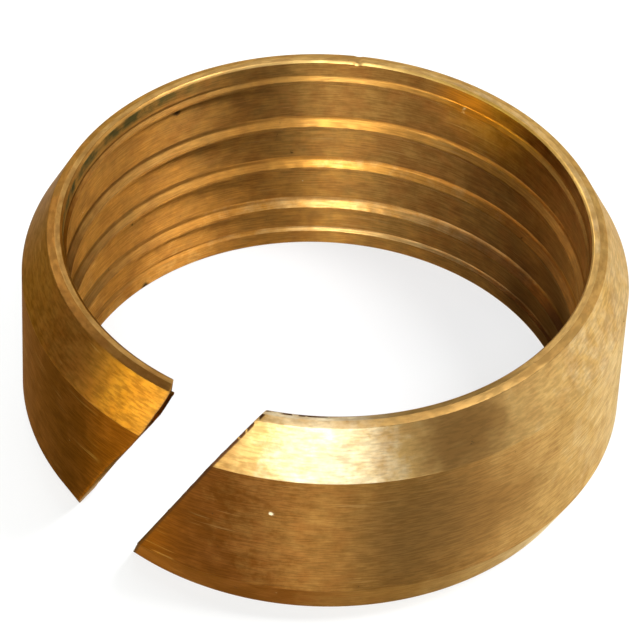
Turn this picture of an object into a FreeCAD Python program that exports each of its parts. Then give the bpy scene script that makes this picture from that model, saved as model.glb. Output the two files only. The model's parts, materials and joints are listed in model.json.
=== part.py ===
import FreeCAD, Part

import math
import os

# Split compression olive: a brass ring turned from bar and sawn through once on a slant.
# Lengths are in millimetres. The axis of the ring is Z, its foot stands on Z = 0 and
# the saw slot is centred on -Y.

# Bore: barbs grip the pipe at their crests
PIPE_DIAMETER = 20.0
PIPE_CLEARANCE = 0.02
BARB_DEPTH = 0.27
BARB_PITCH = 2.2
BARB_FLANK_ANGLE = 45.0
BARB_BACK_ANGLE = 20.0
BARB_ROOT_RADIUS = 0.4
BARB_CREST_LAND = 0.12
LOWEST_BARB_HEIGHT = 1.95

# Bore ends: a shallow first barb below the lead-in and a plain land above the foot
LEAD_IN_LENGTH = 0.92
LEAD_IN_BARB_DEPTH = 0.15
FOOT_LAND_HEIGHT = 0.65
FOOT_GROOVE_DEPTH = 0.12

# Outside: foot chamfer, plain band, seating cone and rim
RING_HEIGHT = 9.6
WALL_THICKNESS = 1.61
FOOT_CHAMFER_WIDTH = 0.88
FOOT_CHAMFER_HEIGHT = 1.77
CONE_WIDTH = 0.98
CONE_LENGTH = 1.93
RIM_OUTER_BREAK_WIDTH = 0.31
RIM_OUTER_BREAK_HEIGHT = 0.12
RIM_INNER_BREAK = 0.1

# Saw slot through the wall
SLOT_WIDTH = 2.95
SLOT_LEAN_ANGLE = 27.8
SAW_OVERRUN = 2.0

FULL_TURN = 360.0
AXIS_START = FreeCAD.Vector(0, 0, 0)
AXIS_UP = FreeCAD.Vector(0, 0, 1)
AXIS_ACROSS = FreeCAD.Vector(0, 1, 0)

crest_radius = PIPE_DIAMETER / 2 + PIPE_CLEARANCE
root_radius = crest_radius + BARB_DEPTH
band_radius = root_radius + WALL_THICKNESS
lead_in_floor = RING_HEIGHT - LEAD_IN_LENGTH


def point(radius, height):
    """A point of the section, to the right of the axis."""
    return FreeCAD.Vector(radius, 0, height)


def outside_corners():
    """Corners of the outside, from the foot up to the inner edge of the rim."""
    band_top = RING_HEIGHT - RIM_OUTER_BREAK_HEIGHT - CONE_LENGTH
    cone_top_radius = band_radius - CONE_WIDTH
    return [
        point(crest_radius, 0),
        point(band_radius - FOOT_CHAMFER_WIDTH, 0),
        point(band_radius, FOOT_CHAMFER_HEIGHT),
        point(band_radius, band_top),
        point(cone_top_radius, RING_HEIGHT - RIM_OUTER_BREAK_HEIGHT),
        point(cone_top_radius - RIM_OUTER_BREAK_WIDTH, RING_HEIGHT),
        point(root_radius + RIM_INNER_BREAK, RING_HEIGHT),
        point(root_radius, RING_HEIGHT - RIM_INNER_BREAK),
    ]


def barb_crests():
    """Heights and radii of the barb crests, from the lead-in down to the foot land."""
    crests = [(lead_in_floor, root_radius - LEAD_IN_BARB_DEPTH)]
    full_barbs = int((lead_in_floor - LOWEST_BARB_HEIGHT) / BARB_PITCH)
    for number in reversed(range(full_barbs)):
        crests.append((LOWEST_BARB_HEIGHT + number * BARB_PITCH, crest_radius))
    return crests


def flank_edges(start, wall_radius, crest_height, tip_radius):
    """Wall, hollow root and upper flank of a barb, from start down to the crest."""
    slope = math.radians(BARB_FLANK_ANGLE)
    step = wall_radius - tip_radius
    corner_height = crest_height + step / math.tan(slope)
    root = min(BARB_ROOT_RADIUS, step)
    tangent = root * math.tan(slope / 2)
    centre_radius = wall_radius - root
    centre_height = corner_height + tangent
    arc_start = point(wall_radius, centre_height)
    arc_middle = point(centre_radius + root * math.cos(slope / 2), centre_height - root * math.sin(slope / 2))
    arc_end = point(centre_radius + root * math.cos(slope), centre_height - root * math.sin(slope))
    crest = point(tip_radius, crest_height)
    edges = [
        Part.makeLine(start, arc_start),
        Part.Arc(arc_start, arc_middle, arc_end).toShape(),
        Part.makeLine(arc_end, crest),
    ]
    return edges, crest


def bore_edges(start, finish):
    """Edges of the bore from the rim at start down to the foot at finish."""
    edges = []
    here = start
    wall_radius = root_radius
    back_slope = math.tan(math.radians(BARB_BACK_ANGLE))
    crests = barb_crests()
    for number, (crest_height, tip_radius) in enumerate(crests):
        flank, crest = flank_edges(here, wall_radius, crest_height, tip_radius)
        is_lowest = number == len(crests) - 1
        wall_radius = crest_radius + FOOT_GROOVE_DEPTH if is_lowest else root_radius
        land_end = point(tip_radius, crest_height - BARB_CREST_LAND)
        here = point(wall_radius, land_end.z - (wall_radius - tip_radius) * back_slope)
        edges += flank + [Part.makeLine(crest, land_end), Part.makeLine(land_end, here)]
    flank, crest = flank_edges(here, wall_radius, FOOT_LAND_HEIGHT, crest_radius)
    return edges + flank + [Part.makeLine(crest, finish)]


def turned_ring():
    """The whole ring as it leaves the lathe."""
    corners = outside_corners()
    outside = [Part.makeLine(low, high) for low, high in zip(corners, corners[1:])]
    section = Part.Wire(outside + bore_edges(corners[-1], corners[0]))
    return Part.Face(section).revolve(AXIS_START, AXIS_UP, FULL_TURN)


def saw_cut():
    """The slanted slab that the saw takes out of one side of the ring."""
    reach = band_radius + SAW_OVERRUN
    height = 2 * reach
    corner = FreeCAD.Vector(-SLOT_WIDTH / 2, -reach, -height / 2)
    slab = Part.makeBox(SLOT_WIDTH, reach, height, corner)
    slab.rotate(AXIS_START, AXIS_ACROSS, SLOT_LEAN_ANGLE)
    slab.translate(FreeCAD.Vector(0, 0, RING_HEIGHT / 2))
    return slab


def split_olive():
    """The finished ring, checked to be one sound solid."""
    ring = turned_ring().cut(saw_cut())
    if not ring.isValid() or len(ring.Solids) != 1:
        raise ValueError("the slotted ring is not one sound solid")
    return ring.Solids[0]


os.makedirs("parts", exist_ok=True)
split_olive().exportStep("parts/split_olive.step")
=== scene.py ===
import json
import math
from collections import namedtuple

import bpy
from mathutils import Matrix, Vector, noise


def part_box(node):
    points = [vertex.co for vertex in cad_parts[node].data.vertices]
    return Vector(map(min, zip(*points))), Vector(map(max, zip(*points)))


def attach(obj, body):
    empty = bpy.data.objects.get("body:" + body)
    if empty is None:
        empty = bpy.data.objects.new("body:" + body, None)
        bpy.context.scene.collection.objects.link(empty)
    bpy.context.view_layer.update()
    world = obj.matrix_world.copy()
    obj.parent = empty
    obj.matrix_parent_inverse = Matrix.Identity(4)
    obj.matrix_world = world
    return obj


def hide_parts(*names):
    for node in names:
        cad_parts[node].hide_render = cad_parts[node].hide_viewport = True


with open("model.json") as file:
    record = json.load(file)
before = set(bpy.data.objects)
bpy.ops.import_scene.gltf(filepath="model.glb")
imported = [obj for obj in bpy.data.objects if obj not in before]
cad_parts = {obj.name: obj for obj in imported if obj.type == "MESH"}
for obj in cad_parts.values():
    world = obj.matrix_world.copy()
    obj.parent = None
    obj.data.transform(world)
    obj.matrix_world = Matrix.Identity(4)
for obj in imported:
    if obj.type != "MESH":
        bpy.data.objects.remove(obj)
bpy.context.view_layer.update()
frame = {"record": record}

MM = 0.001

# Main sizes of the ring in millimetres, from the frame
_, rim_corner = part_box("split_olive")
mounts = {mount["name"]: mount for mount in frame["record"]["mounts"]}
CREST_RADIUS = mounts["pipe_bore"]["dims"]["r_mm"]
BAND_RADIUS = mounts["outer_band"]["dims"]["r_mm"]
RING_HEIGHT = rim_corner.z / MM

# The rest of the section in millimetres, as in the solid that the ring stands for
BARB_DEPTH = 0.27
BARB_HEIGHTS = (6.35, 4.15, 1.95)
BARB_CREST_LAND = 0.12
BARB_BACK_SLOPE = math.tan(math.radians(20.0))
BARB_ROOT_ROUND = 0.4
LEAD_IN_FLOOR = 8.68
LEAD_IN_BARB_DEPTH = 0.15
FOOT_LAND_HEIGHT = 0.65
FOOT_GROOVE_DEPTH = 0.12
FOOT_CHAMFER_WIDTH = 0.88
FOOT_CHAMFER_HEIGHT = 1.77
BAND_TOP = 7.55
CONE_WIDTH = 0.98
CONE_TOP = 9.48
RIM_OUTER_BREAK = 0.31
RIM_INNER_BREAK = 0.1
ROOT_RADIUS = CREST_RADIUS + BARB_DEPTH
CONE_TOP_RADIUS = BAND_RADIUS - CONE_WIDTH

# The saw slot in millimetres, which faces -Y, and its two sides as seen from there
SLOT_WIDTH = 2.95
SLOT_LEAN = math.radians(27.8)
SLOT_FACING = (0.0, -1.0, 0.0)
RIGHT_SIDE = 1
LEFT_SIDE = -1

# Small rounds that the tools leave on the edges, in millimetres
FOOT_EDGE_ROUND = 0.05
BAND_EDGE_ROUND = 0.1
RIM_EDGE_ROUND = 0.05
CREST_EDGE_ROUND = 0.02
SAWN_EDGE_ROUND = 0.03

# How finely the surface is divided: steps in a round and around the ring, and the longest step in millimetres
ROUND_STEPS = 3
ROOT_STEPS = 7
LONGEST_STEP = 0.3
STEPS_AROUND = 520
SAWN_EDGE_STEPS = 3

# Wear in millimetres: torn barb crests, ragged saw edges, a bent and bulged end with a chip, and a nick
CREST_TEAR = 0.02
CREST_TEAR_LENGTH = 0.35
CREST_TEAR_REACH = 0.1
SAWN_TEAR = 0.03
SAWN_TEAR_LENGTH = 0.25
SAWN_TEAR_REACH = 0.4
END_LEAN = 0.15
END_LEAN_REACH = 1.2
END_BULGE = 0.19
END_BULGE_HEIGHT = 7.1
END_BULGE_REACH = 2.2
CHIP_DEPTH = 0.42
CHIP_REACH = 1.1
CHIP_WIDTH = 0.85
NICK_ANGLE = math.radians(210.0)
NICK_WIDTH = 0.34
NICK_DEPTH = 0.06

# Finishes, in the order of the material slots
FINISHES = (
    "turned_band", "seating_cone", "rim_break", "rim", "rim_edge",
    "barbed_bore", "barb_flank", "foot", "foot_chamfer", "sawn_face",
)


def section_corners():
    """Corners of the ring's section: radius, height, edge round and the finish of the run that follows."""
    corners = [
        (CREST_RADIUS, 0.0, FOOT_EDGE_ROUND, "foot"),
        (BAND_RADIUS - FOOT_CHAMFER_WIDTH, 0.0, FOOT_EDGE_ROUND, "foot_chamfer"),
        (BAND_RADIUS, FOOT_CHAMFER_HEIGHT, BAND_EDGE_ROUND, "turned_band"),
        (BAND_RADIUS, BAND_TOP, BAND_EDGE_ROUND, "seating_cone"),
        (CONE_TOP_RADIUS, CONE_TOP, RIM_EDGE_ROUND, "rim_break"),
        (CONE_TOP_RADIUS - RIM_OUTER_BREAK, RING_HEIGHT, RIM_EDGE_ROUND, "rim"),
        (ROOT_RADIUS + RIM_INNER_BREAK, RING_HEIGHT, RIM_EDGE_ROUND, "rim_edge"),
        (ROOT_RADIUS, RING_HEIGHT - RIM_INNER_BREAK, RIM_EDGE_ROUND, "barbed_bore"),
    ]
    crests = [(LEAD_IN_FLOOR, ROOT_RADIUS - LEAD_IN_BARB_DEPTH)]
    crests += [(height, CREST_RADIUS) for height in BARB_HEIGHTS]
    wall = ROOT_RADIUS
    for height, tip in crests:
        step = wall - tip
        corners.append((wall, height + step, min(BARB_ROOT_ROUND, step), "barb_flank"))
        corners.append((tip, height, CREST_EDGE_ROUND, "barbed_bore"))
        wall = CREST_RADIUS + FOOT_GROOVE_DEPTH if height == BARB_HEIGHTS[-1] else ROOT_RADIUS
        land_end = height - BARB_CREST_LAND
        back_end = land_end - (wall - tip) * BARB_BACK_SLOPE
        corners.append((tip, land_end, CREST_EDGE_ROUND, "barbed_bore"))
        corners.append((wall, back_end, CREST_EDGE_ROUND, "barbed_bore"))
    corners.append((wall, FOOT_LAND_HEIGHT + FOOT_GROOVE_DEPTH, FOOT_GROOVE_DEPTH, "barb_flank"))
    corners.append((CREST_RADIUS, FOOT_LAND_HEIGHT, CREST_EDGE_ROUND, "barbed_bore"))
    return corners


def corner_round(before, corner, after, size, steps):
    """Points of the arc that rounds one corner of the section."""
    inward = (before - corner).normalized()
    outward = (after - corner).normalized()
    half_angle = inward.angle(outward) / 2
    tangent = size / math.tan(half_angle)
    middle = (inward + outward).normalized()
    centre = corner + middle * (size / math.sin(half_angle))
    start = corner + inward * tangent - centre
    finish = corner + outward * tangent - centre
    sweep = start.angle_signed(finish)
    return [centre + Matrix.Rotation(-sweep * k / steps, 2) @ start for k in range(steps + 1)]


def ring_section():
    """The closed section as (radius, height) points, with the finish of the run after each point."""
    corners = section_corners()
    places = [Vector((radius, height)) for radius, height, _, _ in corners]
    points = []
    finishes = []
    for number, (_, _, size, finish) in enumerate(corners):
        steps = ROOT_STEPS if size > BAND_EDGE_ROUND else ROUND_STEPS
        before = places[number - 1]
        after = places[(number + 1) % len(places)]
        arc = corner_round(before, places[number], after, size, steps)
        if points:
            start = points[-1]
            run = arc[0] - start
            pieces = max(1, math.ceil(run.length / LONGEST_STEP))
            points += [start + run * k / pieces for k in range(1, pieces)]
            finishes += [finishes[-1]] * (pieces - 1)
        points += arc
        finishes += [finish] * len(arc)
    return points, finishes


def section_normals(points):
    """Outward normal of the section at each point."""
    normals = []
    for number in range(len(points)):
        along = points[(number + 1) % len(points)] - points[number - 1]
        normals.append(Vector((along.y, -along.x)).normalized())
    return normals


def sawn_angle(radius, height, side, gap):
    """Angle from -Y at which a point of the section meets one side of the slot."""
    offset = side * gap + (height - RING_HEIGHT / 2) * math.sin(SLOT_LEAN)
    return math.asin(offset / (radius * math.cos(SLOT_LEAN)))


def ring_columns(points, normals):
    """Columns of the ring: section points, share of the turn and gap to the middle of the slot."""
    half_slot = SLOT_WIDTH / 2
    edge = []
    for step in range(SAWN_EDGE_STEPS):
        turn = math.pi / 2 * step / SAWN_EDGE_STEPS
        sink = SAWN_EDGE_ROUND * (1 - math.sin(turn))
        gap = half_slot + SAWN_EDGE_ROUND * (1 - math.cos(turn))
        edge.append(([point - normal * sink for point, normal in zip(points, normals)], gap))
    whole_gap = half_slot + SAWN_EDGE_ROUND
    first = [(section, 0.0, gap) for section, gap in edge]
    middle = [(points, k / STEPS_AROUND, whole_gap) for k in range(STEPS_AROUND + 1)]
    last = [(section, 1.0, gap) for section, gap in reversed(edge)]
    return first + middle + last


def fade(distance, reach):
    """Falls smoothly from 1 at no distance to 0 at the reach."""
    share = min(abs(distance) / reach, 1.0)
    return (1 - share * share) ** 2


def end_lean(point, distance):
    """How far the bent end leans over the slot outside and bulges, less the chip inside its rim."""
    lean = END_LEAN * (point.x - ROOT_RADIUS) / (BAND_RADIUS - ROOT_RADIUS)
    bulge = END_BULGE * fade(point.y - END_BULGE_HEIGHT, END_BULGE_REACH)
    inside = max(0.0, 1 - max(0.0, point.x - ROOT_RADIUS) / CHIP_WIDTH)
    chip = CHIP_DEPTH * fade(RING_HEIGHT - point.y, CHIP_REACH) * inside
    return (lean + bulge - chip) * fade(distance, END_LEAN_REACH)


def sawn_tear(point, side, distance):
    """Ragged shift of the saw edge along the ring."""
    spot = Vector((point.x, point.y, side)) / SAWN_TEAR_LENGTH
    return SAWN_TEAR * noise.noise(spot) * fade(distance, SAWN_TEAR_REACH)


def crest_tear(point, angle):
    """Ragged rise and drop of the barb crests where the tool tore the metal."""
    along = angle * CREST_RADIUS / CREST_TEAR_LENGTH
    shift = 0.0
    for height in (LEAD_IN_FLOOR,) + BARB_HEIGHTS:
        nearness = fade(point.y - height, CREST_TEAR_REACH)
        shift += CREST_TEAR * nearness * noise.noise(Vector((along, height, 0.0)))
    return shift if point.x < ROOT_RADIUS else 0.0


def nick_drop(point, angle):
    """How far the nick lowers the rim."""
    sideways = (angle - NICK_ANGLE) * point.x
    return NICK_DEPTH * fade(sideways, NICK_WIDTH / 2) * fade(RING_HEIGHT - point.y, NICK_WIDTH)


def ring_place(point, share, gap):
    """Place of a section point at a share of the way from the right side of the slot to the left."""
    start = sawn_angle(point.x, point.y, RIGHT_SIDE, gap)
    finish = sawn_angle(point.x, point.y, LEFT_SIDE, gap) + 2 * math.pi
    turn = finish - start
    from_right = turn * share * point.x
    from_left = turn * (1 - share) * point.x
    tear = sawn_tear(point, RIGHT_SIDE, from_right) + sawn_tear(point, LEFT_SIDE, from_left)
    angle = start + turn * share + (tear + end_lean(point, from_left)) / point.x
    height = point.y - nick_drop(point, angle) + crest_tear(point, angle)
    return Vector((point.x * math.sin(angle), -point.x * math.cos(angle), height)) * MM


def ring_mesh():
    """The whole ring as a closed mesh, with one material slot for each finish."""
    points, finishes = ring_section()
    columns = ring_columns(points, section_normals(points))
    places = [ring_place(point, share, gap) for section, share, gap in columns for point in section]
    count = len(points)
    faces = []
    slots = []
    for column in range(len(columns) - 1):
        here = column * count
        there = here + count
        for number in range(count):
            after = (number + 1) % count
            faces.append((here + number, there + number, there + after, here + after))
            slots.append(FINISHES.index(finishes[number]))
    last = (len(columns) - 1) * count
    faces.append(tuple(range(count)))
    faces.append(tuple(last + number for number in reversed(range(count))))
    slots += [FINISHES.index("sawn_face")] * 2
    mesh = bpy.data.meshes.new("split_ring")
    mesh.from_pydata(places, [], faces)
    mesh.polygons.foreach_set("material_index", slots)
    mesh.polygons.foreach_set("use_smooth", [True] * len(faces))
    mesh.validate()
    mesh.update()
    return mesh


# Camera, read off the outline of the ring in the photograph
PHOTO_SIDE = 640
CAMERA_AZIMUTH = math.radians(34.77)
CAMERA_ELEVATION = math.radians(42.79)
CAMERA_ROLL = math.radians(-2.8)
CAMERA_DISTANCE = 184.6 * MM
FOCAL_PIXELS = 4653.0
AIM_HEIGHT = 4.284 * MM
AIM_ACROSS = 322.8
AIM_DOWN = 330.7
SENSOR_WIDTH = 36.0
NEAR_LIMIT = 10 * MM


def turn_from_camera(azimuth, elevation=0.0):
    """Unit direction at an azimuth to the right of the camera, seen from the ring, and an elevation."""
    around = CAMERA_AZIMUTH + azimuth
    level = math.cos(elevation)
    return Vector((math.sin(around) * level, -math.cos(around) * level, math.sin(elevation)))


def make_camera():
    """The camera at the photograph's viewing angle."""
    back = turn_from_camera(0.0, CAMERA_ELEVATION)
    level_right = Vector((math.cos(CAMERA_AZIMUTH), math.sin(CAMERA_AZIMUTH), 0.0))
    level_up = back.cross(level_right)
    right = level_right * math.cos(CAMERA_ROLL) - level_up * math.sin(CAMERA_ROLL)
    up = level_right * math.sin(CAMERA_ROLL) + level_up * math.cos(CAMERA_ROLL)
    pixel = CAMERA_DISTANCE / FOCAL_PIXELS
    centre = PHOTO_SIDE / 2
    aim = Vector((0.0, 0.0, AIM_HEIGHT))
    aim += right * (centre - AIM_ACROSS) * pixel + up * (AIM_DOWN - centre) * pixel
    data = bpy.data.cameras.new("camera")
    data.sensor_width = SENSOR_WIDTH
    data.lens = FOCAL_PIXELS / PHOTO_SIDE * SENSOR_WIDTH
    data.clip_start = NEAR_LIMIT
    camera = bpy.data.objects.new("camera", data)
    turned = Matrix((right, up, back)).transposed().to_4x4()
    camera.matrix_world = Matrix.Translation(aim + back * CAMERA_DISTANCE) @ turned
    bpy.context.collection.objects.link(camera)
    bpy.context.scene.camera = camera


# Sockets of a mix node that carry colours
MIX_FIRST = 6
MIX_SECOND = 7
MIX_RESULT = 2

# A place on the ring in millimetres: as a vector, without its height, its height and its radius
Place = namedtuple("Place", ("vector", "flat", "height", "radius"))


class Graph:
    """Adds nodes to one shader tree. A value that is a socket is linked, and any other value is set."""

    def __init__(self, tree):
        self.tree = tree

    def link(self, value, socket):
        self.tree.links.new(value, socket)

    def node(self, kind, inputs, **settings):
        node = self.tree.nodes.new("ShaderNode" + kind)
        for name, value in settings.items():
            setattr(node, name, value)
        for socket, value in inputs.items():
            if isinstance(value, bpy.types.NodeSocket):
                self.link(value, node.inputs[socket])
            else:
                node.inputs[socket].default_value = value
        return node

    def group(self, tree, inputs):
        """Places an effect with its own values, and gives its outputs."""
        return self.node("Group", inputs, node_tree=tree).outputs

    def math(self, operation, first, second=0.0):
        return self.node("Math", {0: first, 1: second}, operation=operation).outputs[0]

    def add(self, first, second):
        return self.math("ADD", first, second)

    def minus(self, first, second):
        return self.math("SUBTRACT", first, second)

    def times(self, first, second):
        return self.math("MULTIPLY", first, second)

    def over(self, first, second):
        return self.math("DIVIDE", first, second)

    def dot(self, first, second):
        return self.node("VectorMath", {0: first, 1: second}, operation="DOT_PRODUCT").outputs["Value"]

    def distance(self, first, second):
        return self.node("VectorMath", {0: first, 1: second}, operation="DISTANCE").outputs["Value"]

    def scaled(self, vector, factor):
        return self.node("VectorMath", {0: vector, "Scale": factor}, operation="SCALE").outputs["Vector"]

    def remap(self, value, low, high, new_low=0.0, new_high=1.0):
        levels = {"From Min": low, "From Max": high, "To Min": new_low, "To Max": new_high}
        return self.node("MapRange", {"Value": value, **levels}, interpolation_type="SMOOTHSTEP").outputs[0]

    def fall(self, value, low, high):
        """1 up to the low value, falling to 0 at the high one."""
        return self.remap(value, low, high, 1.0, 0.0)

    def mix(self, factor, first, second, blend="MIX"):
        inputs = {"Factor": factor, MIX_FIRST: first, MIX_SECOND: second}
        return self.node("Mix", inputs, data_type="RGBA", blend_type=blend).outputs[MIX_RESULT]

    def noise(self, vector, scale=1.0, detail=2.0, roughness=0.5):
        inputs = {"Vector": vector, "Scale": scale, "Detail": detail, "Roughness": roughness}
        return self.node("TexNoise", inputs).outputs[0]

    def place(self):
        vector = self.scaled(self.node("TexCoord", {}).outputs["Object"], 1 / MM)
        parts = self.node("SeparateXYZ", {"Vector": vector}).outputs
        flat = self.node("CombineXYZ", {"X": parts["X"], "Y": parts["Y"]}).outputs["Vector"]
        radius = self.node("VectorMath", {0: flat}, operation="LENGTH").outputs["Value"]
        return Place(vector, flat, parts["Z"], radius)


def effect(name, inputs, outputs):
    """A new shader node group with named sockets: its tree as a graph, its inputs and its results."""
    tree = bpy.data.node_groups.new(name, "ShaderNodeTree")
    for socket, value in inputs.items():
        kind = "NodeSocketVector" if isinstance(value, tuple) else "NodeSocketFloat"
        tree.interface.new_socket(name=socket, in_out="INPUT", socket_type=kind).default_value = value
    for socket in outputs:
        tree.interface.new_socket(name=socket, in_out="OUTPUT", socket_type="NodeSocketFloat")
    given = tree.nodes.new("NodeGroupInput").outputs
    result = tree.nodes.new("NodeGroupOutput").inputs
    return Graph(tree), given, result


def ring_spot(azimuth, radius, height):
    """Place in millimetres at an azimuth to the right of the camera, a radius and a height."""
    spot = turn_from_camera(azimuth) * radius
    spot.z = height
    return spot


# Middle level of a noise
NOISE_MIDDLE = 0.5

# Lines of the lathe: density and shortness against the values of the finish, and detail
FINE_LINES = {"density": 1.0, "shortness": 1.3, "detail": 2.0}
FINEST_LINES = {"density": 2.2, "shortness": 2.0, "detail": 2.0}
DASH_LINES = {"density": 1.4, "shortness": 3.0, "detail": 3.0}
SCRATCH_LINES = {"density": 0.6, "shortness": 0.8, "detail": 1.0}

# How much the radius counts along the section, and the share of the fine lines beside the finest
RADIUS_SHARE = 0.7
FINE_SHARE = 0.6

# Levels between which dashes, scratches and scratched zones come up, and the zones' grains to the millimetre
DASH_LEVELS = (0.3, 0.7)
SCRATCH_LEVELS = (0.64, 0.72)
SCRATCHED_LEVELS = (0.46, 0.6)
SCRATCHED_GRAIN = 0.4


def turning_marks():
    """Marks of the lathe tool around the ring: fine lines for bump, dashes and a few long scratches."""
    sockets = {"Lines per mm": 12.0, "Line length": 2.0}
    graph, given, result = effect("turning_marks", sockets, ("Height", "Dash", "Scratch"))
    place = graph.place()
    along_section = graph.add(place.height, graph.times(place.radius, RADIUS_SHARE))
    shrink = graph.over(1.0, given["Line length"])
    around = graph.node("SeparateXYZ", {"Vector": graph.scaled(place.flat, shrink)}).outputs

    def lines(density, shortness, detail):
        across = graph.times(along_section, graph.times(given["Lines per mm"], density))
        sideways = {axis: graph.times(around[axis], shortness) for axis in ("X", "Y")}
        vector = graph.node("CombineXYZ", {**sideways, "Z": across}).outputs["Vector"]
        return graph.noise(vector, detail=detail)

    fine = graph.times(lines(**FINE_LINES), FINE_SHARE)
    finest = graph.times(lines(**FINEST_LINES), 1 - FINE_SHARE)
    graph.link(graph.add(fine, finest), result["Height"])
    graph.link(graph.remap(lines(**DASH_LINES), *DASH_LEVELS), result["Dash"])
    scratch = graph.remap(lines(**SCRATCH_LINES), *SCRATCH_LEVELS)
    scratched = graph.remap(graph.noise(place.vector, SCRATCHED_GRAIN), *SCRATCHED_LEVELS)
    graph.link(graph.times(scratch, scratched), result["Scratch"])
    return graph.tree


# Patches of tarnish, with grains to the millimetre as scale, and levels between which the redder hue comes up
BROAD_PATCHES = {"scale": 0.25, "detail": 3.0, "roughness": 0.55}
SMALL_PATCHES = {"scale": 1.6, "detail": 6.0, "roughness": 0.7}
SMALL_PATCH_WEIGHT = 1.5
WARM_PATCHES = {"scale": 0.9, "detail": 3.0, "roughness": 0.6}
WARM_LEVELS = (0.42, 0.66)


def tarnish_bloom():
    """Uneven brown tarnish with redder patches, with painted light and shade on it: it changes towards the
    left, the front and the rim as the light falls there.
    """
    sockets = {"Amount": 0.5, "Left": 0.3, "Front": 0.0, "Up": 0.0, "Mottle": 0.25}
    graph, given, result = effect("tarnish_bloom", sockets, ("Tarnish", "Warmth"))
    place = graph.place()
    up = graph.over(graph.minus(place.height, RING_HEIGHT / 2), RING_HEIGHT)
    total = graph.add(given["Amount"], graph.times(up, given["Up"]))
    # Painted light and shade: more or less tarnish towards the camera's left and the front
    for socket, azimuth in (("Left", -math.pi / 2), ("Front", 0.0)):
        side = graph.dot(place.vector, turn_from_camera(azimuth) / BAND_RADIUS)
        total = graph.add(total, graph.times(side, given[socket]))
    broad = graph.noise(place.vector, **BROAD_PATCHES)
    small = graph.noise(place.vector, **SMALL_PATCHES)
    patches = graph.add(broad, graph.times(small, SMALL_PATCH_WEIGHT))
    swing = graph.minus(patches, (1 + SMALL_PATCH_WEIGHT) * NOISE_MIDDLE)
    graph.link(graph.add(total, graph.times(swing, given["Mottle"])), result["Tarnish"])
    warmth = graph.noise(place.vector, **WARM_PATCHES)
    graph.link(graph.remap(warmth, *WARM_LEVELS), result["Warmth"])
    return graph.tree


# Specks: output, amount, grains to the millimetre, shift of the pattern and the level at which they start
SPECK_KINDS = (
    ("Pit", "Pits", 3.2, 0.0, 0.77),
    ("Fleck", "Flecks", 2.6, 40.0, 0.82),
)
SPECK_DETAIL = 3.0
SPECK_ROUGHNESS = 0.6
SPECK_EDGE = 0.05
SPECK_CROWDS = 0.5


def specks():
    """Scattered dark pits and small bright flecks where the metal was knocked."""
    graph, given, result = effect("specks", {"Pits": 0.5, "Flecks": 0.5}, ("Pit", "Fleck"))
    place = graph.place()
    for output, amount, scale, shift, start in SPECK_KINDS:
        shifted = {0: place.vector, 1: (shift, shift, shift)}
        moved = graph.node("VectorMath", shifted, operation="ADD").outputs["Vector"]
        grain = graph.noise(moved, scale, SPECK_DETAIL, SPECK_ROUGHNESS)
        crowd = graph.minus(graph.noise(moved, SPECK_CROWDS), NOISE_MIDDLE)
        level = graph.add(grain, graph.times(crowd, given[amount]))
        graph.link(graph.remap(level, start, start + SPECK_EDGE), result[output])
    return graph.tree


# The paler patch on the front of the cone and the rim, a painted highlight: azimuth to the right of the
# camera, and in millimetres its height, the core that is fully paled, its reach and how far its blotches
# shift its edge
HIGHLIGHT_AZIMUTH = math.radians(-1.0)
HIGHLIGHT_HEIGHT = 8.6
HIGHLIGHT_CORE = 0.7
HIGHLIGHT_REACH = 6.3
HIGHLIGHT_SWING = 2.4
HIGHLIGHT_BLOTCHES = {"scale": 1.8, "detail": 4.0, "roughness": 0.65}


def scraped_front():
    """Mask of the painted highlight: a patch on the front of the cone and the rim made paler, with a blotchy
    edge.
    """
    graph, _, result = effect("scraped_front", {}, ("Patch",))
    place = graph.place()
    away = graph.distance(place.vector, ring_spot(HIGHLIGHT_AZIMUTH, BAND_RADIUS, HIGHLIGHT_HEIGHT))
    blotch = graph.minus(graph.noise(place.vector, **HIGHLIGHT_BLOTCHES), NOISE_MIDDLE)
    uneven = graph.add(away, graph.times(blotch, HIGHLIGHT_SWING))
    graph.link(graph.fall(uneven, HIGHLIGHT_CORE, HIGHLIGHT_REACH), result["Patch"])
    return graph.tree


# The dark line along the right side of the slot, painted shade of the sawn face: in millimetres its width,
# the height where it breaks up and the length over which it does, its grains to the millimetre and the levels
# between which they come up
EDGE_SHADE_WIDTH = 0.16
EDGE_SHADE_BREAK = 8.6
EDGE_SHADE_BREAK_LENGTH = 0.3
EDGE_SHADE_GRAIN = 3.0
EDGE_SHADE_LEVELS = (0.45, 0.55)


def saw_stain():
    """Mask of the painted shade along the right side of the slot: a dark line, broken up near the rim."""
    graph, _, result = effect("saw_stain", {}, ("Stain",))
    place = graph.place()
    across = (math.cos(SLOT_LEAN), 0.0, -math.sin(SLOT_LEAN))
    side = SLOT_WIDTH / 2 - RING_HEIGHT / 2 * math.sin(SLOT_LEAN)
    distance = graph.math("ABSOLUTE", graph.minus(graph.dot(place.vector, across), side))
    line = graph.fall(distance, EDGE_SHADE_WIDTH / 2, EDGE_SHADE_WIDTH)
    broken = graph.remap(graph.noise(place.vector, EDGE_SHADE_GRAIN), *EDGE_SHADE_LEVELS)
    whole = graph.fall(place.height, EDGE_SHADE_BREAK, EDGE_SHADE_BREAK + EDGE_SHADE_BREAK_LENGTH)
    in_front = graph.math("GREATER_THAN", graph.dot(place.flat, SLOT_FACING), 0.0)
    kept = graph.times(graph.math("MAXIMUM", broken, whole), in_front)
    graph.link(graph.times(line, kept), result["Stain"])
    return graph.tree


# A single mark: grains to its reach, and the share of its reach that is fully covered
MARK_GRAIN = 1.5
MARK_CORE = 0.15


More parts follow.
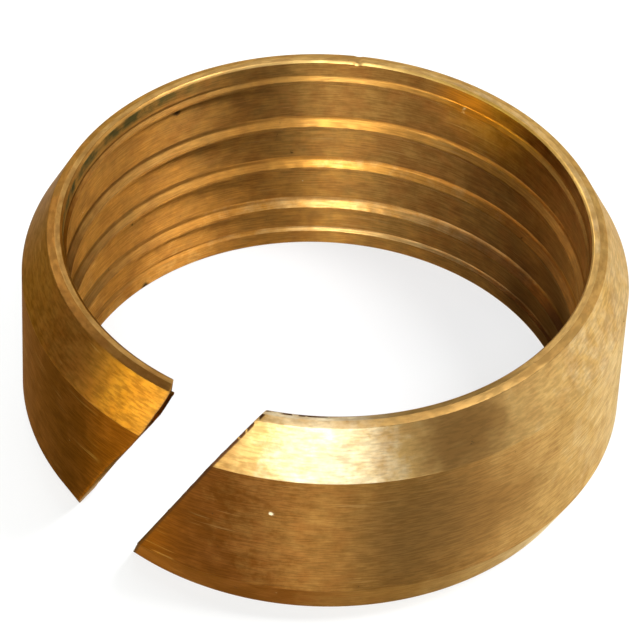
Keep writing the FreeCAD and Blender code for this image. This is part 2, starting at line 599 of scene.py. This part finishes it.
def single_mark():
    """Mask of one mark with a soft, ragged edge."""
    sockets = {"Middle": (0.0, 0.0, 0.0), "Reach": 0.2}
    graph, given, result = effect("single_mark", sockets, ("Mark",))
    place = graph.place()
    share = graph.over(graph.distance(place.vector, given["Middle"]), given["Reach"])
    grain = graph.noise(place.vector, graph.over(MARK_GRAIN, given["Reach"]))
    ragged = graph.add(share, graph.minus(grain, NOISE_MIDDLE))
    graph.link(graph.fall(ragged, MARK_CORE, 1.0), result["Mark"])
    return graph.tree


TURNING_MARKS = turning_marks()
TARNISH_AND_SIDE_SHADE = tarnish_bloom()
SPECKS = specks()
FRONT_HIGHLIGHT_PATCH = scraped_front()
SLOT_EDGE_SHADE = saw_stain()
SINGLE_MARK = single_mark()

# Colours of the brass, from pale to deep brown, and of what lies on it
PALE_BRASS = (0.74, 0.63, 0.42, 1.0)
STRAW_BRASS = (0.70, 0.54, 0.29, 1.0)
HONEY_BRASS = (0.72, 0.5, 0.21, 1.0)
BRIGHT_GOLD = (0.76, 0.46, 0.13, 1.0)
CLEAN_BRASS = (0.52, 0.32, 0.107, 1.0)
ORANGE_GOLD = (0.50, 0.22, 0.038, 1.0)
GOLDEN_BROWN = (0.29, 0.145, 0.034, 1.0)
DEEP_BROWN = (0.12, 0.038, 0.005, 1.0)
RED_BROWN = (0.24, 0.085, 0.018, 1.0)
EDGE_TINT = (0.8, 0.65, 0.45, 1.0)
PIT_BROWN = (0.05, 0.025, 0.01, 1.0)
DARK_GREEN = (0.075, 0.06, 0.018, 1.0)
DARK_LINE_BROWN = (0.06, 0.024, 0.01, 1.0)
SHADOW_BROWN = (0.07, 0.03, 0.01, 1.0)
BURNT_ORANGE = (0.27, 0.1, 0.012, 1.0)
OLIVE_SCORE = (0.58, 0.48, 0.2, 1.0)
RIM_SHADE_BROWN = (0.2, 0.115, 0.035, 1.0)
PAINTED_SHADE_BROWN = (0.235, 0.12, 0.033, 1.0)
FLECK_PALE = (0.8, 0.66, 0.4, 1.0)

# How much tarnish, with its painted shade, turns the brass to its clean colour and to golden brown
CLEAN_STOP = 0.3
BROWN_STOP = 0.6

# How strongly the dashes change the colour and the roughness, and how strongly scratches and pits show
DASH_SHADE = 0.14
DASH_ROUGHNESS = 0.03
SCRATCH_STRENGTH = 0.2
PIT_STRENGTH = 0.7

# Turn of the anisotropy, as a share of a whole turn, that lays the highlights across the lathe lines
QUARTER_TURN = 0.25

# Dark green tarnish under the rim: azimuth to the right of the camera, cosines of the angles from it between
# which it comes up, depth below the rim in millimetres, and its patches with their levels and least strength
GREEN_AZIMUTH = math.radians(-106.0)
GREEN_COSINES = (0.6, 0.9)
GREEN_DEPTH = 0.75
GREEN_PATCHES = {"scale": 1.2, "detail": 3.0, "roughness": 0.6}
GREEN_LEVELS = (0.35, 0.6)
GREEN_LEAST = 0.35

# The dark line along the inner edge of the rim: azimuth to the right of the camera, half of the angle that it
# spans, width in millimetres, grains to the millimetre and the levels between which they come up
RIM_LINE_AZIMUTH = math.radians(-11.0)
RIM_LINE_HALF = math.radians(15.0)
RIM_LINE_WIDTH = 0.13
RIM_LINE_GRAIN = 2.5
RIM_LINE_LEVELS = (0.36, 0.5)

# Small scores on the front of the cone: degrees to the right of the camera and height, and their reach
CONE_SCORES = (
    (-6.4, 9.12), (-2.4, 9.05), (0.8, 8.45), (-1.7, 8.31),
    (3.5, 9.40), (3.4, 8.75), (-3.9, 8.53), (-5.6, 8.08),
)
SCORE_REACH = 0.24

# Painted shade on the cone and the band, a darker brown zone between two highlights: degrees to the right of
# the camera, and its height on the cone
SHADE_AZIMUTH = 28.0
CONE_SHADE_HEIGHT = 8.5


def cone_radius(height):
    """Radius of the cone at a height."""
    return BAND_RADIUS - CONE_WIDTH * (height - BAND_TOP) / (CONE_TOP - BAND_TOP)


# Marks in the bore that lie on two finishes, in the order of the table of single marks
BORE_FLECK = (148.9, ROOT_RADIUS, 8.64, 0.18, FLECK_PALE)
# Painted shadow: a dark patch low in the right of the bore, on the walls and the flanks
BORE_SHADOW = (113.0, ROOT_RADIUS, 0.6, 5.6, SHADOW_BROWN)

# Single marks on each finish: degrees to the right of the camera, radius, height, reach and colour
SINGLE_MARKS = {
    "seating_cone": [
        (azimuth, cone_radius(height), height, SCORE_REACH, OLIVE_SCORE) for azimuth, height in CONE_SCORES
    ] + [
        # Painted shade: a darker brown zone on the cone
        (SHADE_AZIMUTH, cone_radius(CONE_SHADE_HEIGHT), CONE_SHADE_HEIGHT, 2.8, PAINTED_SHADE_BROWN),
    ],
    "turned_band": [
        # Painted shade: a darker brown zone on the band
        (SHADE_AZIMUTH, BAND_RADIUS, 4.5, 5.4, PAINTED_SHADE_BROWN),
        (-7.8, BAND_RADIUS, 5.72, 0.14, FLECK_PALE),
    ],
    "rim_break": [
        # Painted shade: the rim's outer break darker at the front right
        (36.0, CONE_TOP_RADIUS, CONE_TOP, 8.0, RIM_SHADE_BROWN),
    ],
    "rim": [
        # Painted shade: the rim darker at the front right
        (26.0, CONE_TOP_RADIUS, RING_HEIGHT, 6.0, RIM_SHADE_BROWN),
    ],
    "barb_flank": [
        (147.0, ROOT_RADIUS, 8.75, 3.0, BURNT_ORANGE),
        BORE_FLECK,
        BORE_SHADOW,
    ],
    "barbed_bore": [
        (151.7, ROOT_RADIUS, 9.04, 1.1, BURNT_ORANGE),
        (147.0, ROOT_RADIUS, 9.04, 1.1, BURNT_ORANGE),
        BORE_FLECK,
        (-142.2, ROOT_RADIUS, 8.37, 0.3, PIT_BROWN),
        (-132.0, CREST_RADIUS, 0.05, 0.3, PIT_BROWN),
        BORE_SHADOW,
    ],
}

# How each finish is turned, tarnished and marked, with the depth of its lines in millimetres. Left, front and
# up add painted shade, darker or paler to one side or towards the rim as light falls
FINISH_VALUES = {
    "turned_band": dict(
        roughness=0.514, anisotropy=0.952, lines=12.0, line_length=2.0, line_depth=0.0015,
        amount=0.65, left=0.54, front=0.16, mottle=0.34, pale=STRAW_BRASS, edge_shaded=True,
    ),
    "seating_cone": dict(
        roughness=0.436, anisotropy=0.667, lines=12.0, line_length=1.5, line_depth=0.001,
        amount=0.60, left=0.37, front=0.0, mottle=0.22, painted_highlight=0.46, edge_shaded=True,
    ),
    "rim_break": dict(
        roughness=0.45, anisotropy=0.3, lines=12.0, line_length=1.5, line_depth=0.001,
        amount=0.62, left=0.15, front=0.15, mottle=0.2, painted_highlight=0.65, edge_shaded=True,
    ),
    "rim": dict(
        roughness=0.416, anisotropy=0.278, lines=6.0, line_length=2.0, line_depth=0.002,
        amount=0.42, left=0.13, front=0.08, painted_highlight=0.5, lined=True,
    ),
    "rim_edge": dict(
        roughness=0.4, anisotropy=0.3, lines=6.0, line_length=2.0, line_depth=0.002,
        amount=0.55, left=0.45, front=0.4, pale=BRIGHT_GOLD,
    ),
    "barbed_bore": dict(
        roughness=0.506, anisotropy=0.974, lines=12.0, line_length=2.5, line_depth=0.002,
        amount=0.56, left=-0.31, front=0.0, up=0.25, mottle=0.36, warmth=0.4,
        pale=BRIGHT_GOLD, clean=ORANGE_GOLD, green=True,
    ),
    "barb_flank": dict(
        roughness=0.425, anisotropy=0.53, lines=12.0, line_length=2.5, line_depth=0.002,
        amount=0.71, left=0.16, front=0.44, up=0.4, pale=HONEY_BRASS, clean=ORANGE_GOLD,
    ),
    "foot": dict(
        roughness=0.461, anisotropy=0.556, lines=6.0, line_length=3.0, line_depth=0.004,
        amount=0.60, left=0.25, front=0.2, pale=STRAW_BRASS,
    ),
    "foot_chamfer": dict(
        roughness=0.514, anisotropy=0.9, lines=12.0, line_length=2.0, line_depth=0.0015,
        amount=0.44, left=1.0, front=0.5, pale=STRAW_BRASS, edge_shaded=True,
    ),
    "sawn_face": dict(
        roughness=0.5, anisotropy=0.3, lines=6.0, line_length=3.0, line_depth=0.01,
        amount=0.85, left=0.0, front=0.0, up=0.5,
    ),
}


def green_tarnish(graph):
    """Mask of the dark green tarnish in the corner under the rim, strongest at the left of the bore."""
    place = graph.place()
    side = graph.dot(place.flat, turn_from_camera(GREEN_AZIMUTH) / ROOT_RADIUS)
    near_side = graph.remap(side, *GREEN_COSINES)
    near_rim = graph.remap(place.height, RING_HEIGHT - GREEN_DEPTH, RING_HEIGHT - GREEN_DEPTH / 2)
    patches = graph.remap(graph.noise(place.vector, **GREEN_PATCHES), *GREEN_LEVELS, GREEN_LEAST, 1.0)
    return graph.times(graph.times(near_side, near_rim), patches)


def rim_line(graph):
    """Mask of the broken dark line along the inner edge of the rim at the front."""
    place = graph.place()
    edge = ROOT_RADIUS + RIM_INNER_BREAK
    side = graph.dot(place.flat, turn_from_camera(RIM_LINE_AZIMUTH) / edge)
    near_front = graph.remap(side, math.cos(RIM_LINE_HALF), math.cos(RIM_LINE_HALF / 2))
    line = graph.fall(place.radius, edge + RIM_LINE_WIDTH / 2, edge + RIM_LINE_WIDTH)
    broken = graph.remap(graph.noise(place.vector, RIM_LINE_GRAIN), *RIM_LINE_LEVELS)
    return graph.times(graph.times(near_front, line), broken)


def patina(graph, tarnish, pale, clean):
    """Colour of the brass, from pale through clean to deep brown as the tarnish and its painted shade grow.
    """
    node = graph.node("ValToRGB", {"Fac": tarnish})
    ramp = node.color_ramp.elements
    ramp[0].color = pale
    ramp[1].color = DEEP_BROWN
    ramp.new(CLEAN_STOP).color = clean
    ramp.new(BROWN_STOP).color = GOLDEN_BROWN
    return node.outputs["Color"]


def with_single_marks(graph, colour, finish):
    """The colour with the single marks of a finish on it."""
    for azimuth, radius, height, reach, hue in SINGLE_MARKS.get(finish, ()):
        middle = ring_spot(math.radians(azimuth), radius, height)
        mark = graph.group(SINGLE_MARK, {"Middle": middle, "Reach": reach})["Mark"]
        colour = graph.mix(mark, colour, hue)
    return colour


def with_lathe_marks(graph, colour, marks):
    """The colour, lighter and darker along the dashes of the lathe, with its long scratches."""
    shade = graph.remap(marks["Dash"], 0.0, 1.0, 1 - DASH_SHADE, 1 + DASH_SHADE)
    grey = graph.node("CombineColor", {0: shade, 1: shade, 2: shade}).outputs["Color"]
    colour = graph.mix(1.0, colour, grey, "MULTIPLY")
    return graph.mix(graph.times(marks["Scratch"], SCRATCH_STRENGTH), colour, CLEAN_BRASS)


def brass_finish(name, roughness, anisotropy, lines, line_length, line_depth, amount, left, front,
                 up=0.0, mottle=0.25, warmth=0.25, painted_highlight=0.0, pale=PALE_BRASS, clean=CLEAN_BRASS,
                 green=False, lined=False, edge_shaded=False):
    """Turned brass with lathe marks, tarnish with painted light and shade, single marks and specks."""
    material = bpy.data.materials.new(name)
    material.use_nodes = True
    graph = Graph(material.node_tree)
    marks = graph.group(TURNING_MARKS, {"Lines per mm": lines, "Line length": line_length})
    spread = {"Amount": amount, "Left": left, "Front": front, "Up": up, "Mottle": mottle}
    tarnish_and_shade = graph.group(TARNISH_AND_SIDE_SHADE, spread)
    spots = graph.group(SPECKS, {})
    # The tarnish here also carries the painted light and shade of the group
    tarnish = tarnish_and_shade["Tarnish"]
    # Painted highlight: the front of the cone and the rim made paler
    if painted_highlight:
        patch = graph.group(FRONT_HIGHLIGHT_PATCH, {})["Patch"]
        tarnish = graph.minus(tarnish, graph.times(patch, painted_highlight))
    colour = patina(graph, tarnish, pale, clean)
    colour = graph.mix(graph.times(tarnish_and_shade["Warmth"], warmth), colour, RED_BROWN)
    if green:
        colour = graph.mix(green_tarnish(graph), colour, DARK_GREEN)
    if lined:
        colour = graph.mix(rim_line(graph), colour, DARK_LINE_BROWN)
    colour = with_single_marks(graph, colour, name)
    colour = with_lathe_marks(graph, colour, marks)
    colour = graph.mix(graph.times(spots["Pit"], PIT_STRENGTH), colour, PIT_BROWN)
    colour = graph.mix(spots["Fleck"], colour, FLECK_PALE)
    # Painted shade: a dark line along the right side of the slot
    if edge_shaded:
        colour = graph.mix(graph.group(SLOT_EDGE_SHADE, {})["Stain"], colour, DARK_LINE_BROWN)
    rough = graph.remap(marks["Dash"], 0.0, 1.0, roughness + DASH_ROUGHNESS, roughness - DASH_ROUGHNESS)
    bump = graph.node("Bump", {"Height": marks["Height"], "Distance": line_depth * MM, "Strength": 1.0})
    tangent = graph.node("Tangent", {}, direction_type="RADIAL", axis="Z")
    shader = material.node_tree.nodes["Principled BSDF"].inputs
    graph.link(colour, shader["Base Color"])
    graph.link(rough, shader["Roughness"])
    graph.link(bump.outputs["Normal"], shader["Normal"])
    graph.link(tangent.outputs["Tangent"], shader["Tangent"])
    shader["Metallic"].default_value = 1.0
    shader["Specular Tint"].default_value = EDGE_TINT
    shader["Anisotropic"].default_value = anisotropy
    shader["Anisotropic Rotation"].default_value = QUARTER_TURN
    return material


def make_ring():
    """The ring with its finishes, in place of the plain solid."""
    ring = bpy.data.objects.new("split_ring", ring_mesh())
    bpy.context.collection.objects.link(ring)
    for finish in FINISHES:
        ring.data.materials.append(brass_finish(finish, **FINISH_VALUES[finish]))
    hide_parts("split_olive")
    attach(ring, "root")


# Floor in metres, and the share of what is seen of it that is plain white
FLOOR_HALF = 2.0
FLOOR_DROP = 0.02 * MM
FLOOR_WHITE = (0.92, 0.92, 0.92, 1.0)
FLOOR_ROUGHNESS = 0.9
FLOOR_SPECULAR = 0.1
FLOOR_GLOW = 0.65


def make_floor():
    """A pale floor that keeps the shadow of the ring."""
    mesh = bpy.data.meshes.new("floor")
    signs = ((-1, -1), (1, -1), (1, 1), (-1, 1))
    mesh.from_pydata([(x * FLOOR_HALF, y * FLOOR_HALF, 0.0) for x, y in signs], [], [(0, 1, 2, 3)])
    floor = bpy.data.objects.new("floor", mesh)
    floor.location.z = -FLOOR_DROP
    bpy.context.collection.objects.link(floor)
    paper = bpy.data.materials.new("pale_floor")
    paper.use_nodes = True
    shader = paper.node_tree.nodes["Principled BSDF"]
    shader.inputs["Base Color"].default_value = FLOOR_WHITE
    shader.inputs["Roughness"].default_value = FLOOR_ROUGHNESS
    shader.inputs["Specular IOR Level"].default_value = FLOOR_SPECULAR
    graph = Graph(paper.node_tree)
    path = graph.node("LightPath", {}).outputs
    seen = graph.math("MAXIMUM", path["Is Camera Ray"], path["Is Glossy Ray"])
    seen = graph.math("MAXIMUM", seen, path["Is Transmission Ray"])
    glow = graph.node("Emission", {"Strength": 1.0}).outputs["Emission"]
    parts = {0: graph.times(seen, FLOOR_GLOW), 1: shader.outputs["BSDF"], 2: glow}
    mixed = graph.node("MixShader", parts).outputs["Shader"]
    graph.link(mixed, paper.node_tree.nodes["Material Output"].inputs["Surface"])
    mesh.materials.append(paper)


# Light of the studio, with the distance of the lamps in metres
WORLD_LEVEL = 0.05
WORLD_WHITE = (1.0, 1.0, 1.0, 1.0)
LAMP_DISTANCE = 0.5
WHITE_LIGHT = (1.0, 1.0, 1.0)
COOL_LIGHT = (0.88, 0.95, 1.0)
WARM_LIGHT = (1.0, 0.92, 0.1)

# Lamps: degrees to the right of the camera and up, width and height in degrees, radiance and colour
LAMPS = {
    "front_lamp": (-3, 46, 12, 14, 31.0, COOL_LIGHT),
    "low_front": (-21, 14, 77, 22, 6.0, COOL_LIGHT),
    "warm_left": (-62, 6, 28, 10, 22.0, WARM_LIGHT),
    "window": (101, 18, 44, 20, 2.4, COOL_LIGHT),
    "high_right": (88, 58, 14, 20, 29.0, WHITE_LIGHT),
    "low_back": (161, 12, 100, 20, 2.0, COOL_LIGHT),
    "key": (123, 40, 20, 20, 4.0, COOL_LIGHT),
    "back": (180, 43, 40, 26, 1.3, WHITE_LIGHT),
    "overhead": (0, 90, 20, 20, 3.5, WHITE_LIGHT),
    "high_left": (-135, 36, 40, 24, 3.3, WHITE_LIGHT),
}


def make_lamp(name, azimuth, elevation, across, upright, radiance, colour):
    """A soft box that faces the ring, as wide and as tall as its angles say."""
    data = bpy.data.lights.new(name, "AREA")
    data.shape = "RECTANGLE"
    data.size = 2 * LAMP_DISTANCE * math.tan(math.radians(across) / 2)
    data.size_y = 2 * LAMP_DISTANCE * math.tan(math.radians(upright) / 2)
    data.energy = math.pi * data.size * data.size_y * radiance
    data.color = colour
    lamp = bpy.data.objects.new(name, data)
    away = turn_from_camera(math.radians(azimuth), math.radians(elevation))
    lamp.location = away * LAMP_DISTANCE
    lamp.rotation_euler = away.to_track_quat("Z", "Y").to_euler()
    lamp.visible_camera = False
    bpy.context.collection.objects.link(lamp)


def make_world():
    """Faint white light from all around."""
    world = bpy.data.worlds.new("studio")
    world.use_nodes = True
    sky = world.node_tree.nodes["Background"]
    sky.inputs["Color"].default_value = WORLD_WHITE
    sky.inputs["Strength"].default_value = WORLD_LEVEL
    bpy.context.scene.world = world


make_ring()
make_camera()
make_floor()
make_world()
for lamp_name, lamp_values in LAMPS.items():
    make_lamp(lamp_name, *lamp_values)
bpy.context.scene.view_settings.view_transform = "Standard"
